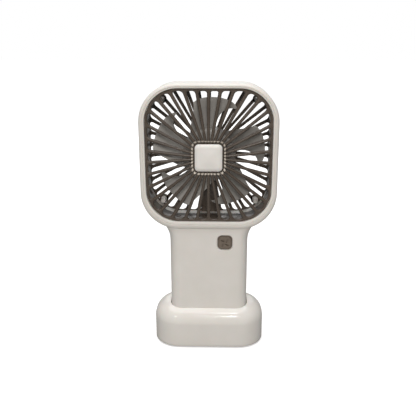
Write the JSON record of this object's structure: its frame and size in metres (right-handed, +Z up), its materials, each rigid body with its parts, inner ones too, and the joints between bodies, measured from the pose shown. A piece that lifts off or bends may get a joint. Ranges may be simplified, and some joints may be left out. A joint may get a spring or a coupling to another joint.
{
  "type": "handheld electric fan",
  "caption": "Small rechargeable hand fan with a rounded-square grilled head, a flat handle with a power button, and a lift-off desk dock.",
  "frame": {"origin": "middle of the dock's underside, on the surface that the rubber feet stand on", "axes": "+Z up along the handle towards the head, -Y the way the fan blows, +X to the right as seen from the front"},
  "size_m": [0.0858, 0.038, 0.1738],
  "materials": {
    "casing_white": "glossy warm white ABS",
    "grille_taupe": "satin taupe ABS",
    "blade_taupe": "semi-gloss grey brown",
    "button_taupe": "satin with an engraved petal sign",
    "foot_rubber": "soft matte",
    "steel": "zinc plated",
    "lamination": "stacked silicon steel",
    "copper_wire": "enamelled winding wire",
    "bronze": "sintered, oiled",
    "ferrite": "sintered magnet",
    "inner_plastic": "natural nylon",
    "board": "solder mask",
    "black_plastic": "moulded",
    "cell_wrap": "heat-shrunk sleeve",
    "foam": "closed-cell foam",
    "lead_cover": "silicone lead insulation"
  },
  "bodies": {
    "dock": {"dock_shell": "casing_white", "dock_base_plate": "casing_white", "dock_weight": "steel", "dock_feet": "foot_rubber", "dock_screws": "steel"},
    "fan": {"front_shell": "casing_white", "rear_shell": "casing_white", "casing_screws": "steel", "front_grille": "grille_taupe", "centre_cap": "casing_white", "rear_grille": "grille_taupe", "rear_grille_screws": "steel", "motor_base": "inner_plastic", "motor_screws": "steel", "stator_core": "lamination", "stator_coils": "copper_wire", "motor_board": "board", "front_bearing": "bronze", "rear_bearing": "bronze", "motor_leads": "lead_cover", "battery_cell": "cell_wrap", "battery_tabs": "steel", "battery_pads": "foam", "battery_leads": "lead_cover", "main_board": "board", "board_components": "black_plastic", "board_screws": "steel", "power_switch": "black_plastic", "usb_shell": "steel", "usb_tongue": "black_plastic"},
    "rotor": {"impeller": "blade_taupe", "rotor_yoke": "steel", "magnet_ring": "ferrite", "motor_shaft": "steel", "shaft_clip": "steel"},
    "button": {"power_button": "button_taupe", "switch_plunger": "black_plastic"}
  },
  "joints": [
    {"name": "fan_lift", "type": "slide", "parent": "dock", "child": "fan", "axis": [0, 0, 1], "range_m": [0, 0.025]},
    {"name": "rotor_spin", "type": "hinge", "parent": "fan", "child": "rotor", "pos_m": [0, 0, 0.1293], "axis": [0, 1, 0], "continuous": true},
    {"name": "button_press", "type": "slide", "parent": "fan", "child": "button", "axis": [0, 1, 0], "range_m": [0, 0.0004], "stiffness_N_per_m": 1500}
  ]
}
